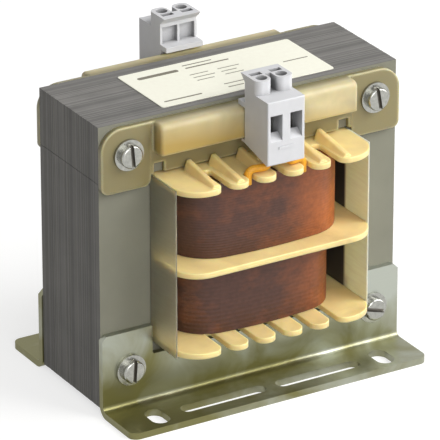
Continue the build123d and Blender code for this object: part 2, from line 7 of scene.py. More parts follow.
import bpy
from bpy.props import FloatProperty, FloatVectorProperty, IntProperty, PointerProperty
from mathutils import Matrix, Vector

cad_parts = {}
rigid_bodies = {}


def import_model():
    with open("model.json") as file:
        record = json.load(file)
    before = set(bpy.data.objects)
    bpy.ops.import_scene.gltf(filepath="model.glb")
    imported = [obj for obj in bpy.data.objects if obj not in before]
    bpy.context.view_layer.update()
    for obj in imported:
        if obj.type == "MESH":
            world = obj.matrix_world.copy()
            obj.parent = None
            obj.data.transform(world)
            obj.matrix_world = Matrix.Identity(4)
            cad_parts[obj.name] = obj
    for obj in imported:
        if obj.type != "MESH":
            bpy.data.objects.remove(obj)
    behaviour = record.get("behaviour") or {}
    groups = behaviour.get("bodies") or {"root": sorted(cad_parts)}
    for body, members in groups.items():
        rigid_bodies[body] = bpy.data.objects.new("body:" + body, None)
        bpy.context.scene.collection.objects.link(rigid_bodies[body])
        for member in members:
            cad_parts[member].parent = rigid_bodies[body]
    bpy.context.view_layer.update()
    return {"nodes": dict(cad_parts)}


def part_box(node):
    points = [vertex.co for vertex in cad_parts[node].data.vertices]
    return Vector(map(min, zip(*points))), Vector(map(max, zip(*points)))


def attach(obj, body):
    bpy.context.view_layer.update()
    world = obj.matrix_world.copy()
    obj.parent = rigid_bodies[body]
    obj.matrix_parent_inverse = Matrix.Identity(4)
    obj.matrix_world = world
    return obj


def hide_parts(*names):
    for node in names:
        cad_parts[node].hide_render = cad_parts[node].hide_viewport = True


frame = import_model()

bl_info = {
    "name": "Safety transformer looks",
    "version": (1, 0, 0),
    "blender": (4, 5, 0),
    "location": "View3D > Sidebar > Transformer",
    "description": "Builds the visible pieces and finishes of an open safety transformer",
    "category": "Object",
}

# Places that are closer than this, in metres, count as the same
SAME_PLACE = 0.00001
# Loose corners this close, in metres, are one corner, and triangles that meet this flat are one face
MERGE_DISTANCE = 0.000002
FLAT_ANGLE = math.radians(0.5)
# Room for rounding where faces are picked by their place
SLACK = 1.02
# Length of the tools that cut bolt holes and driver slots, in metres, more than what they cut through
TOOL_LENGTH = 0.01
# Faces that meet at more than these angles get a round edge, and a crease in the shading
EDGE_ANGLE = math.radians(40)
CREASE_ANGLE = math.radians(35)
# Degrees that the slots of the left and right bolt heads are turned from upright, clockwise from the front
SLOT_TURNS = {"upper": (-5, -10), "lower": (4, 106)}
# Printed bars on the label: distance from its left and rear edges, length and height, in millimetres
PRINTED_BARS = (
    (4.0, 4.6, 13.0, 1.6),
    (19.5, 2.4, 9.5, 0.5),
    (19.5, 4.4, 14.0, 0.7),
    (18.0, 9.2, 6.0, 0.4),
    (18.0, 11.4, 7.0, 0.4),
    (18.0, 13.6, 5.5, 0.4),
    (27.0, 9.2, 7.0, 0.4),
    (27.0, 11.4, 5.0, 0.4),
    (27.0, 13.6, 6.0, 0.4),
    (23.0, 19.6, 7.0, 0.5),
    (23.0, 22.0, 5.0, 0.5),
    (2.4, 22.2, 12.0, 0.7),
    (45.5, 14.2, 8.0, 0.5),
)


def linear(hex_colour):
    """Turns an sRGB hex colour into linear red, green and blue."""
    channels = [int(hex_colour[start : start + 2], 16) / 255 for start in (1, 3, 5)]
    return [c / 12.92 if c <= 0.04045 else ((c + 0.055) / 1.055) ** 2.4 for c in channels]


def colour_property(label, words, hex_colour):
    """A colour that the user can change, given as an sRGB hex value."""
    return FloatVectorProperty(
        name=label, description=words, subtype="COLOR", size=3, min=0, max=1, default=linear(hex_colour)
    )


def number_property(label, words, value, unit="NONE"):
    """A number that the user can change, in Blender's own unit of its kind."""
    return FloatProperty(name=label, description=words, unit=unit, precision=5, default=value)


def length_property(label, words, metres):
    """A length that the user can change, in metres."""
    return number_property(label, words, metres, "LENGTH")


class TransformerSizes(bpy.types.PropertyGroup):
    """Sizes of the visible detail."""

    leg_width: length_property("Leg width", "Width of each outer leg of the E sheets", 0.016)
    yoke_height: length_property("Yoke height", "Height of the bottom yoke of the E sheets", 0.017)
    sheet_pitch: length_property("Sheet pitch", "Thickness of one core sheet with its coating", 0.0005)
    sheet_gap: length_property("Sheet gap", "Air between two core sheets at their edges", 0.00002)
    sheet_stagger: length_property("Sheet stagger", "How far single sheets stand out of the stack", 0.00004)
    seam: length_property("Seam", "Air between the E stack and the I stack", 0.00015)
    bolt_hole: length_property("Bolt hole", "Radius of the bolt holes in the sheets", 0.00275)
    primary_turn: length_property("Primary turn", "Height of one turn of the upper coil", 0.0008)
    secondary_turn: length_property("Secondary turn", "Height of one turn of the lower coil", 0.0013)
    rib_foot: length_property("Rib foot", "Level of the rib feet inside the former's top flange", 0.0689)
    former_edge: length_property("Former edge", "Round on the edges of the coil former", 0.00018)
    former_shine: length_property("Former shine", "Round that the former's edges show in the light", 0.0007)
    carrier_edge: length_property("Carrier edge", "Round on the edges of the terminal carriers", 0.00035)
    carrier_shine: length_property("Carrier shine", "Round that the carriers' edges show in light", 0.0013)
    slot_depth: length_property("Post slot depth", "Depth of the slots in the terminal posts", 0.0011)
    slot_width: length_property("Post slot width", "Width of the slots in the terminal posts", 0.0018)
    terminal_edge: length_property("Terminal edge", "Round on the edges of the terminal housings", 0.00016)
    pressed_edge: length_property("Pressed edge", "Round on the edges of the pressed brackets", 0.00018)
    turned_edge: length_property("Turned edge", "Round on the edges of bolts, nuts and washers", 0.00012)
    head_height: length_property("Head height", "Height of a bolt head with its washer ring", 0.0029)
    ring_height: length_property("Ring height", "Thickness of the washer ring on a bolt head", 0.0009)
    ring_width: length_property("Ring width", "Width of the washer ring left round a bolt head", 0.0012)
    head_round: length_property("Head round", "Radius of the round on the rim of a bolt head", 0.0007)
    driver_width: length_property("Driver slot width", "Width of the slot in a bolt head", 0.0011)
    driver_depth: length_property("Driver slot depth", "Depth of the slot in a bolt head", 0.0013)
    print_height: length_property("Print height", "Thickness of the printed bars on the label", 0.00002)
    seed: IntProperty(name="Seed", description="Start of the random sheet offsets", default=7)


class TransformerColours(bpy.types.PropertyGroup):
    """Colours of the finishes and of the stage."""

    steel: colour_property("Core steel", "Cut edges of the core sheets", "#797774")
    coating: colour_property("Core coating", "Coated faces of the core sheets", "#868577")
    wire: colour_property("Coil", "Enamelled copper wire under varnish", "#4e3229")
    # Towards the right end of the coils this copper colour is painted light
    copper: colour_property("Coil glow", "Copper that shows through the varnish", "#b8662f")
    former: colour_property("Former nylon", "Natural nylon of the coil former", "#f8dd9a")
    carrier: colour_property("Carrier nylon", "Natural nylon of the terminal carriers", "#f4e6b6")
    carrier_deep: colour_property("Carrier depth", "Thick nylon low on the terminal carriers", "#d9bb68")
    carrier_backed: colour_property("Carrier on core", "Thin nylon with the dark core behind it", "#a99d6f")
    film: colour_property("Film board", "Insulating sheets in the core windows", "#fbf2d6")
    # Painted shade: this dark colour stands in for the shaded window behind the film
    film_painted_shade: colour_property("Film on core", "Film board with the dark core behind it", "#4a463f")
    bracket: colour_property("Bracket zinc", "Passivated zinc plate of the brackets", "#aeb2a8")
    bracket_gold: colour_property("Bracket tint", "Yellow tint of the passivation", "#78754c")
    zinc: colour_property("Fastener zinc", "Bright zinc plate of bolts, nuts and washers", "#a8a8a2")
    # Painted shade: this darker zinc in the slots of the bolt heads stands in for their shade
    soil: colour_property("Slot soil", "Oil and dust in the slots of the bolt heads", "#86827a")
    terminal: colour_property("Terminal grey", "Moulded terminal housings", "#d2d2d4")
    clamp: colour_property("Clamp metal", "Plated wire clamps and their screws", "#9b9a96")
    sleeve: colour_property("Lead sleeve", "Sleeving of the coil leads", "#eeaa2a")
    paper: colour_property("Label paper", "Bare label on the top yoke", "#fffceb")
    ink: colour_property("Label ink", "Plain printed bars on the label", "#7d7869")
    floor: colour_property("Floor", "Pale studio floor", "#b4b4b2")


class TransformerStage(bpy.types.PropertyGroup):
    """Camera and light."""

    azimuth: number_property("Azimuth", "Camera turn", math.radians(-30.745), "ROTATION")
    elevation: number_property("Elevation", "Camera tilt", math.radians(24.283), "ROTATION")
    distance: length_property("Distance", "From the camera to the point it looks at", 1.27942)
    target: FloatVectorProperty(
        name="Target", description="Point that the camera looks at", subtype="TRANSLATION",
        default=(0.000307, 0.0, 0.042097),
    )
    lens: number_property("Lens", "Focal length in millimetres", 370.43)
    sky: number_property("Sky", "Strength of the even light all round", 0.26)
    key: number_property("Key", "Power of the lamp at the right front", 14.5, "POWER")
    side: number_property("Side", "Power of the low lamp at the right", 7.5, "POWER")
    fill: number_property("Fill", "Power of the lamp in front", 8.5, "POWER")
    lamp_distance: length_property("Lamp distance", "From each lamp to the point it shines at", 1.4)
    floor_size: length_property("Floor size", "Length and width of the floor", 8.0)
    floor_lift: number_property("Floor lift", "White that the floor adds to the eye", 0.68)


def set_inputs(tree, made, values=None, links=None):
    """Fills input sockets with values and with links, where a node stands for its first output."""
    for key, value in (values or {}).items():
        made.inputs[key].default_value = value
    for key, source in (links or {}).items():
        socket = source.outputs[0] if isinstance(source, bpy.types.Node) else source
        tree.links.new(socket, made.inputs[key])


def add_node(tree, kind, values=None, links=None, **settings):
    """Adds one shader node with its settings, input values and incoming links.

    The two colours of a colour mix are its inputs 6 and 7, and the mixed colour is its output 2.
    """
    made = tree.nodes.new(kind)
    for key, value in settings.items():
        setattr(made, key, value)
    set_inputs(tree, made, values, links)
    return made


def new_finish(name):
    """A new material, with its node tree and its main shader."""
    material = bpy.data.materials.new(name)
    material.use_nodes = True
    tree = material.node_tree
    return material, tree, tree.nodes["Principled BSDF"]


def rgba(colour, factor=1.0):
    """A colour socket's value, made lighter or darker by the factor."""
    return [min(1.0, channel * factor) for channel in colour] + [1.0]


def lamination_steel(colours, sizes):
    """Silicon steel sheet, stamped and coated: dull grey, each cut edge a little different in tone."""
    material, tree, shader = new_finish("coated_silicon_steel")
    place = add_node(tree, "ShaderNodeTexCoord").outputs["Object"]
    axes = add_node(tree, "ShaderNodeSeparateXYZ", links={0: place})
    # The quarter sheet keeps the outer faces clear of a step in the count
    count = add_node(
        tree, "ShaderNodeMath", {1: 1 / sizes.sheet_pitch, 2: 0.25}, {0: axes.outputs["Y"]},
        operation="MULTIPLY_ADD",
    )
    sheet = add_node(tree, "ShaderNodeMath", links={0: count}, operation="FLOOR")
    tone = add_node(tree, "ShaderNodeTexWhiteNoise", links={"W": sheet}, noise_dimensions="1D")
    # Rolled and oiled patches, about 12 mm across
    patch = add_node(tree, "ShaderNodeTexNoise", {"Scale": 80.0, "Detail": 3.0}, {"Vector": place})
    # Grit of the coating, about 0.6 mm, coarser than the real one so that it shows
    grit = add_node(tree, "ShaderNodeTexNoise", {"Scale": 1600.0, "Detail": 2.0}, {"Vector": place})
    blend = add_node(tree, "ShaderNodeMix", {0: 0.55}, {2: tone, 3: patch}, data_type="FLOAT")
    ramp = add_node(tree, "ShaderNodeValToRGB", links={"Fac": blend})
    for stop, spot, factor in zip(ramp.color_ramp.elements, (0.2, 0.8), (0.6, 1.3)):
        stop.position = spot
        stop.color = rgba(colours.steel, factor)
    # The flat faces keep their olive coating; the cut edges are bare
    turned = add_node(tree, "ShaderNodeNewGeometry")
    ways = add_node(tree, "ShaderNodeSeparateXYZ", links={0: turned.outputs["True Normal"]})
    flat = add_node(tree, "ShaderNodeMath", links={0: ways.outputs["Y"]}, operation="ABSOLUTE")
    worn = add_node(tree, "ShaderNodeMapRange", {"To Min": 0.85, "To Max": 1.1}, {"Value": patch})
    coat = add_node(
        tree, "ShaderNodeMix", {0: 1.0, 6: rgba(colours.coating)}, {7: worn}, data_type="RGBA",
        blend_type="MULTIPLY",
    )
    base = add_node(tree, "ShaderNodeMix", links={0: flat, 6: ramp, 7: coat.outputs[2]}, data_type="RGBA")
    rough = add_node(tree, "ShaderNodeMapRange", {"To Min": 0.42, "To Max": 0.62}, {"Value": patch})
    bump = add_node(tree, "ShaderNodeBump", {"Strength": 0.12, "Distance": 0.0002}, {"Height": grit})
    set_inputs(
        tree, shader, {"Specular IOR Level": 0.15},
        {"Base Color": base.outputs[2], "Roughness": rough, "Normal": bump},
    )
    return material


def enamelled_wire(colours, turn_pitch, painted_light_strength):
    """Brown enamelled copper wire, wound in even turns and varnished: deep brown with a copper glow, partly
    painted light.
    """
    material, tree, shader = new_finish("varnished_enamelled_copper")
    place = add_node(tree, "ShaderNodeTexCoord").outputs["Object"]
    axes = add_node(tree, "ShaderNodeSeparateXYZ", links={0: place})
    # One ridge for each turn of wire
    phase = add_node(
        tree, "ShaderNodeMath", {1: 2 * math.pi / turn_pitch}, {0: axes.outputs["Z"]}, operation="MULTIPLY"
    )
    ridge = add_node(tree, "ShaderNodeMath", links={0: phase}, operation="SINE")
    # Pools of varnish, about 15 mm across, drawn out along the turns
    drawn = add_node(tree, "ShaderNodeMapping", {"Scale": (1.0, 1.0, 1.6)}, {"Vector": place})
    pools = add_node(
        tree, "ShaderNodeTexNoise", {"Scale": 60.0, "Detail": 4.0, "Roughness": 0.6}, {"Vector": drawn}
    )
    # Specks of dust in the varnish, about 1 mm across
    specks = add_node(tree, "ShaderNodeTexNoise", {"Scale": 900.0, "Detail": 2.0}, {"Vector": place})
    # Painted light: the copper colour grows towards the right end, where the light falls; copper also shows
    # between pools of varnish
    painted_light_right = add_node(
        tree, "ShaderNodeMapRange",
        {"From Min": 0.002, "From Max": 0.027, "To Min": -0.15, "To Max": painted_light_strength},
        {"Value": axes.outputs["X"]},
    )
    shown = add_node(
        tree, "ShaderNodeMapRange", {"From Min": 0.35, "From Max": 0.75, "To Min": 0.0, "To Max": 0.45},
        {"Value": pools},
    )
    glow = add_node(tree, "ShaderNodeMath", links={0: painted_light_right, 1: shown}, operation="ADD", use_clamp=True)
    base = add_node(
        tree, "ShaderNodeMix", {6: rgba(colours.wire), 7: rgba(colours.copper)}, {0: glow}, data_type="RGBA"
    )
    fleck = add_node(tree, "ShaderNodeMapRange", {"To Min": 0.65, "To Max": 1.3}, {"Value": specks})
    tinted = add_node(
        tree, "ShaderNodeMix", {0: 1.0}, {6: base.outputs[2], 7: fleck}, data_type="RGBA",
        blend_type="MULTIPLY",
    )
    height = add_node(tree, "ShaderNodeMath", {1: 0.35}, {0: ridge, 2: pools}, operation="MULTIPLY_ADD")
    bump = add_node(tree, "ShaderNodeBump", {"Strength": 0.25, "Distance": 0.0002}, {"Height": height})
    set_inputs(
        tree, shader, {"Metallic": 0.25, "Roughness": 0.42},
        {"Base Color": tinted.outputs[2], "Normal": bump},
    )
    return material


def natural_nylon(name, colour, clearness, edge_round, deep=None, backed=None):
    """Unfilled nylon, injection moulded: milky, warm, lets light in a little, softly glossy."""
    material, tree, shader = new_finish(name)
    place = add_node(tree, "ShaderNodeTexCoord").outputs["Object"]
    # Flow marks about 10 mm across and a fine grain of about 0.5 mm
    flow = add_node(
        tree, "ShaderNodeTexNoise", {"Scale": 100.0, "Detail": 3.0, "Distortion": 0.6}, {"Vector": place}
    )
    grain = add_node(tree, "ShaderNodeTexNoise", {"Scale": 2000.0, "Detail": 2.0}, {"Vector": place})
    ramp = add_node(tree, "ShaderNodeValToRGB", links={"Fac": flow})
    for stop, spot, factor in zip(ramp.color_ramp.elements, (0.3, 0.75), (0.82, 1.08)):
        stop.position = spot
        stop.color = rgba(colour, factor)
    base = ramp.outputs["Color"]
    if backed:
        # The rail is thick and amber below; the amber reaches higher towards its left end, painted shade as
        # the light falls from the right
        axes = add_node(tree, "ShaderNodeSeparateXYZ", links={0: place})
        level = add_node(
            tree, "ShaderNodeMath", {1: 0.12}, {0: axes.outputs["X"], 2: axes.outputs["Z"]},
            operation="MULTIPLY_ADD",
        )
        up = add_node(
            tree, "ShaderNodeMapRange", {"From Min": 0.0765, "From Max": 0.0835}, {"Value": level}
        )
        rail = add_node(tree, "ShaderNodeMix", {6: rgba(deep)}, {0: up, 7: base}, data_type="RGBA")
        # The dark core shows through where the moulding is thin and lies against it
        away = add_node(tree, "ShaderNodeMath", links={0: axes.outputs["Y"]}, operation="ABSOLUTE")
        thick = add_node(
            tree, "ShaderNodeMapRange", {"From Min": 0.0182, "From Max": 0.0205}, {"Value": away}
        )
        shown = add_node(
            tree, "ShaderNodeMix", {6: rgba(backed)}, {0: thick, 7: rail.outputs[2]}, data_type="RGBA"
        )
        base = shown.outputs[2]
    # Moulded edges and corners catch the light as if they were well rounded
    soft = add_node(tree, "ShaderNodeBevel", {"Radius": edge_round}, samples=8)
    # Painted highlight: the edges are painted paler, as rounded edges look where they catch the light
    turned = add_node(tree, "ShaderNodeNewGeometry")
    level_with = add_node(
        tree, "ShaderNodeVectorMath", links={0: soft, 1: turned.outputs["Normal"]}, operation="DOT_PRODUCT"
    )
    rim = add_node(
        tree, "ShaderNodeMapRange", {"From Min": 0.998, "From Max": 0.88, "To Max": 0.7},
        {"Value": level_with.outputs["Value"]},
    )
    pale = add_node(tree, "ShaderNodeMix", {7: rgba(colour, 1.15)}, {0: rim, 6: base}, data_type="RGBA")
    bump = add_node(
        tree, "ShaderNodeBump", {"Strength": 0.08, "Distance": 0.0001}, {"Height": grain, "Normal": soft}
    )
    set_inputs(
        tree, shader,
        {
            "Roughness": 0.42, "IOR": 1.53, "Subsurface Weight": 0.5, "Subsurface Radius": (1.0, 0.7, 0.3),
            "Subsurface Scale": 0.002, "Transmission Weight": clearness,
        },
        {"Base Color": pale.outputs[2], "Normal": bump},
    )
    return material


def film_board(name, colours, clearness):
    """Pressed polyester film board: pale, see-through where it stands free, with a satin face."""
    material, tree, shader = new_finish(name)
    place = add_node(tree, "ShaderNodeTexCoord").outputs["Object"]
    # Fibres along the sheet, about 0.8 mm wide and 8 mm long
    drawn = add_node(tree, "ShaderNodeMapping", {"Scale": (1.0, 0.1, 1.0)}, {"Vector": place})
    fibres = add_node(tree, "ShaderNodeTexNoise", {"Scale": 1250.0, "Detail": 3.0}, {"Vector": drawn})
    ramp = add_node(tree, "ShaderNodeValToRGB", links={"Fac": fibres})
    ramp.color_ramp.elements[0].color = rgba(colours.film, 0.85)
    ramp.color_ramp.elements[1].color = rgba(colours.film, 1.12)
    # Inside the window the sheet is painted dark and made opaque, painted shade for the shaded window
    # behind it
    axes = add_node(tree, "ShaderNodeSeparateXYZ", links={0: place})
    away = add_node(tree, "ShaderNodeMath", links={0: axes.outputs["Y"]}, operation="ABSOLUTE")
    free = add_node(tree, "ShaderNodeMapRange", {"From Min": 0.016, "From Max": 0.0172}, {"Value": away})
    base = add_node(
        tree, "ShaderNodeMix", {6: rgba(colours.film_painted_shade)}, {0: free, 7: ramp}, data_type="RGBA"
    )
    clear = add_node(tree, "ShaderNodeMapRange", {"To Max": clearness}, {"Value": free})
    set_inputs(
        tree, shader,
        {
            "Roughness": 0.35, "Specular IOR Level": 0.2, "IOR": 1.5, "Subsurface Weight": 1.0,
            "Subsurface Radius": (1.0, 0.9, 0.7), "Subsurface Scale": 0.001,
        },
        {"Base Color": base.outputs[2], "Transmission Weight": clear},
    )
    return material


def zinc_plate(colours):
    """Steel strip, zinc plated and yellow passivated: satin grey metal with a gold cast in patches."""
    material, tree, shader = new_finish("passivated_zinc_plate")
    place = add_node(tree, "ShaderNodeTexCoord").outputs["Object"]
    # Clouds of the passivation, about 20 mm across
    cloud = add_node(
        tree, "ShaderNodeTexNoise", {"Scale": 50.0, "Detail": 4.0, "Distortion": 0.8}, {"Vector": place}
    )
    # Rolling marks along the strip, about 0.4 mm apart
    drawn = add_node(tree, "ShaderNodeMapping", {"Scale": (0.04, 1.0, 1.0)}, {"Vector": place})
    rolled = add_node(tree, "ShaderNodeTexNoise", {"Scale": 2500.0, "Detail": 2.0}, {"Vector": drawn})
    # The darker yellow tint is stronger towards the left end
    axes = add_node(tree, "ShaderNodeSeparateXYZ", links={0: place})
    along = add_node(
        tree, "ShaderNodeMapRange",
        {"From Min": -0.048, "From Max": 0.048, "To Min": 0.22, "To Max": -0.12},
        {"Value": axes.outputs["X"]},
    )
    # and towards the fold and the foot
    low = add_node(
        tree, "ShaderNodeMapRange", {"From Min": 0.004, "From Max": 0.026, "To Min": 0.16, "To Max": -0.2},
        {"Value": axes.outputs["Z"]},
    )
    ends = add_node(tree, "ShaderNodeMath", links={0: cloud, 1: along}, operation="ADD")
    tint = add_node(tree, "ShaderNodeMath", links={0: ends, 1: low}, operation="ADD")
    ramp = add_node(tree, "ShaderNodeValToRGB", links={"Fac": tint})
    tones = (0.38, colours.bracket), (0.78, colours.bracket_gold)
    for stop, (spot, colour) in zip(ramp.color_ramp.elements, tones):
        stop.position = spot
        stop.color = rgba(colour)
    rough = add_node(tree, "ShaderNodeMapRange", {"To Min": 0.24, "To Max": 0.42}, {"Value": rolled})
    bump = add_node(tree, "ShaderNodeBump", {"Strength": 0.06, "Distance": 0.0001}, {"Height": rolled})
    set_inputs(tree, shader, {"Metallic": 0.8}, {"Base Color": ramp, "Roughness": rough, "Normal": bump})
    return material


def plated_metal(name, colour, roughness):
    """Plated steel turned or pressed small: bright metal with fine scratches."""
    material, tree, shader = new_finish(name)
    place = add_node(tree, "ShaderNodeTexCoord").outputs["Object"]
    # Handling marks, about 1 mm across
    marks = add_node(tree, "ShaderNodeTexNoise", {"Scale": 1000.0, "Detail": 4.0}, {"Vector": place})
    ramp = add_node(tree, "ShaderNodeValToRGB", links={"Fac": marks})
    for stop, spot, factor in zip(ramp.color_ramp.elements, (0.3, 0.7), (0.8, 1.05)):
        stop.position = spot
        stop.color = rgba(colour, factor)
    rough = add_node(
        tree, "ShaderNodeMapRange", {"To Min": roughness - 0.06, "To Max": roughness + 0.1},
        {"Value": marks},
    )
    set_inputs(tree, shader, {"Metallic": 1.0}, {"Base Color": ramp, "Roughness": rough})
    return material


def grey_polyamide(colours):
    """Filled polyamide, injection moulded in an eroded tool: light cool grey with a fine matt grain."""
    material, tree, shader = new_finish("eroded_grey_polyamide")
    place = add_node(tree, "ShaderNodeTexCoord").outputs["Object"]
    # Eroded grain of about 0.3 mm and flow marks of about 4 mm
    grain = add_node(tree, "ShaderNodeTexNoise", {"Scale": 3000.0, "Detail": 2.0}, {"Vector": place})
    flow = add_node(tree, "ShaderNodeTexNoise", {"Scale": 250.0, "Detail": 2.0}, {"Vector": place})
    ramp = add_node(tree, "ShaderNodeValToRGB", links={"Fac": flow})
    ramp.color_ramp.elements[0].color = rgba(colours.terminal, 0.93)
    ramp.color_ramp.elements[1].color = rgba(colours.terminal, 1.05)
    # Painted shade: the deep wire entries, pockets and screw holes are painted darker within about 5 mm of
    # a facing wall
    painted_shade = add_node(tree, "ShaderNodeAmbientOcclusion", {"Distance": 0.005}, samples=8, only_local=True)
    depth = add_node(
        tree, "ShaderNodeMapRange", {"From Min": 0.2, "From Max": 0.7, "To Min": 0.3, "To Max": 1.0},
        {"Value": painted_shade.outputs["AO"]},
    )
    shaded = add_node(
        tree, "ShaderNodeMix", {0: 1.0}, {6: ramp, 7: depth}, data_type="RGBA", blend_type="MULTIPLY"
    )
    bump = add_node(tree, "ShaderNodeBump", {"Strength": 0.15, "Distance": 0.0001}, {"Height": grain})
    set_inputs(
        tree, shader,
        {
            "Roughness": 0.5, "IOR": 1.53, "Subsurface Weight": 0.15,
            "Subsurface Radius": (1.0, 0.92, 0.8), "Subsurface Scale": 0.001,
        },
        {"Base Color": shaded.outputs[2], "Normal": bump},
    )
    return material


def glass_sleeving(colours):
    """Braided glass sleeving soaked in yellow varnish: a fine weave with a soft gloss."""
    material, tree, shader = new_finish("varnished_glass_sleeving")
    place = add_node(tree, "ShaderNodeTexCoord").outputs["Object"]
    # Braid of about 0.5 mm
    braid = add_node(tree, "ShaderNodeTexVoronoi", {"Scale": 2000.0, "Randomness": 0.35}, {"Vector": place})
    ramp = add_node(tree, "ShaderNodeValToRGB", links={"Fac": braid})
    ramp.color_ramp.elements[0].color = rgba(colours.sleeve, 1.1)
    ramp.color_ramp.elements[1].color = rgba(colours.sleeve, 0.7)
    bump = add_node(
        tree, "ShaderNodeBump", {"Strength": 0.3, "Distance": 0.0001}, {"Height": braid}, invert=True
    )
    set_inputs(tree, shader, {"Roughness": 0.45, "IOR": 1.5}, {"Base Color": ramp, "Normal": bump})
    return material


def label_paper(name, colour):
    """Coated label paper: flat, pale, with a faint fibre mottle."""
    material, tree, shader = new_finish(name)
    place = add_node(tree, "ShaderNodeTexCoord").outputs["Object"]
    # Fibre mottle of about 1.5 mm
    mottle = add_node(tree, "ShaderNodeTexNoise", {"Scale": 700.0, "Detail": 4.0}, {"Vector": place})
    ramp = add_node(tree, "ShaderNodeValToRGB", links={"Fac": mottle})
    ramp.color_ramp.elements[0].color = rgba(colour, 0.93)
    ramp.color_ramp.elements[1].color = rgba(colour, 1.03)
    set_inputs(tree, shader, {"Roughness": 0.6, "IOR": 1.5}, {"Base Color": ramp})
    return material


def active_object():
    """The object that the last operator made or changed."""
    return bpy.context.view_layer.objects.active


def deselect_all():
    """Leaves nothing selected, so that the next operator acts on the new piece alone."""
    bpy.ops.object.select_all(action="DESELECT")


def pick_none(kind):
    """Leaves no vertex, edge or face of the active piece selected, ready to pick that kind by its place."""
    bpy.ops.object.mode_set(mode="EDIT")
    bpy.ops.mesh.select_mode(type=kind)
    bpy.ops.mesh.select_all(action="DESELECT")
    bpy.ops.object.mode_set(mode="OBJECT")


def add_block(centre, size):
    """A plain block with its place and size in its mesh."""
    deselect_all()
    bpy.ops.mesh.primitive_cube_add(size=1, location=centre)
    block = active_object()
    block.scale = size
    bpy.ops.object.transform_apply(location=True, rotation=True, scale=True)
    return block


def dress(piece, material):
    """Gives a piece one finish all over."""
    piece.data.materials.clear()
    piece.data.materials.append(material)


def dress_nodes(nodes, material):
    """Puts a finish on the material slots of carried-over pieces."""
    for name in nodes:
        for place in frame["nodes"][name].material_slots:
            place.material = material


def apply_modifier(piece, kind, **settings):
    """Adds one modifier with its settings and applies it."""
    modifier = piece.modifiers.new(kind.title(), kind)
    for key, value in settings.items():
        setattr(modifier, key, value)
    bpy.context.view_layer.objects.active = piece
    bpy.ops.object.modifier_apply(modifier=modifier.name)


def settle(piece, material, slot, *nodes):
    """Gives a piece its finish and its ride on the object, and hides the nodes it stands for; the slot is
    not used.
    """
    dress(piece, material)
    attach(piece, "root")
    if nodes:
        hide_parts(*nodes)


def panel_values(context):
    """The sizes and the colours that the panel shows."""
    return context.scene.transformer_sizes, context.scene.transformer_colours


def merged_copy(node, name):
    """A copy of a carried-over piece with its loose triangles merged into whole faces."""
    deselect_all()
    source = frame["nodes"][node]
    source.select_set(True)
    bpy.context.view_layer.objects.active = source
    bpy.ops.object.duplicate()
    piece = active_object()
    bpy.ops.object.parent_clear(type="CLEAR_KEEP_TRANSFORM")
    for key in list(piece.keys()):
        del piece[key]
    piece.name = name
    piece.data.name = name
    bpy.ops.mesh.customdata_custom_splitnormals_clear()
    bpy.ops.object.mode_set(mode="EDIT")
    bpy.ops.mesh.select_all(action="SELECT")
    bpy.ops.mesh.remove_doubles(threshold=MERGE_DISTANCE)
    bpy.ops.mesh.dissolve_limited(angle_limit=FLAT_ANGLE)
    bpy.ops.object.mode_set(mode="OBJECT")
    return piece


def soften(piece, edge):
    """Rounds the edges of a merged copy as the real tool leaves them."""
    apply_modifier(
        piece, "BEVEL", width=edge, segments=2, limit_method="ANGLE", angle_limit=EDGE_ANGLE,
        use_clamp_overlap=True, harden_normals=False, miter_outer="MITER_ARC",
    )
    bpy.ops.object.shade_smooth_by_angle(angle=CREASE_ANGLE)
    apply_modifier(piece, "WEIGHTED_NORMAL", keep_sharp=True)


def trim_rib_feet(piece, level):
    """Takes off the rib corners that jut out past the round tips of the four wide fingers."""
    pick_none("VERT")
    at_level = [vertex for vertex in piece.data.vertices if abs(vertex.co.z - level) < SAME_PLACE]
    reach = max(abs(vertex.co.y) for vertex in at_level)
    tips = [vertex for vertex in at_level if abs(vertex.co.y) > reach - SAME_PLACE]
    inmost = min(abs(vertex.co.x) for vertex in tips)
    for vertex in tips:
        vertex.select = abs(vertex.co.x) < inmost + SAME_PLACE
    bpy.ops.object.mode_set(mode="EDIT")
    bpy.ops.mesh.dissolve_verts()
    bpy.ops.object.mode_set(mode="OBJECT")


def bolt_axes(low, high):
    """The x and z of the left and right bolt of a pair, from the low and high corner of its box."""
    radius = (high.z - low.z) / 2
    return [(x, low.z + radius) for x in (low.x + radius, high.x - radius)]


def one_sheet(name, low, high, thickness):
    """A thin upright block at the front of a stack, to be shaped into one core sheet."""
    size = (high.x - low.x, thickness, high.z - low.z)
    sheet = add_block(((low.x + high.x) / 2, low.y + thickness / 2, (low.z + high.z) / 2), size)
    sheet.name = name
    sheet.data.name = name
    return sheet


def punch_holes(sheet, places, radius):
    """Punches the bolt holes, given as (x, z) places, through a sheet."""
    for x, z in places:
        deselect_all()
        bpy.ops.mesh.primitive_cylinder_add(
            vertices=24, radius=radius, depth=TOOL_LENGTH, location=(x, sheet.data.vertices[0].co.y, z),
            rotation=(math.radians(90), 0, 0),
        )
        punch = active_object()
        apply_modifier(sheet, "BOOLEAN", object=punch, operation="DIFFERENCE", solver="EXACT")
        bpy.data.objects.remove(punch)


def stack_up(sheet, depth, sizes):
    """Repeats a sheet through the depth of the core, each one shifted a hair as in a real stack."""
    count = round(depth / sizes.sheet_pitch)
    pitch = depth / count
    first = min(vertex.co.y for vertex in sheet.data.vertices)
    apply_modifier(
        sheet, "ARRAY", count=count, use_relative_offset=False, use_constant_offset=True,
        constant_offset_displace=(0, pitch, 0),
    )
    dice = random.Random(sizes.seed)
    shifts = [
        Vector((dice.uniform(-1, 1), 0, dice.uniform(-1, 0))) * sizes.sheet_stagger for _ in range(count)
    ]
    # A hundredth of a sheet keeps rounding out of the count
    for vertex in sheet.data.vertices:
        index = min(count - 1, int((vertex.co.y - first) / pitch + 0.01))
        vertex.co += shifts[index]


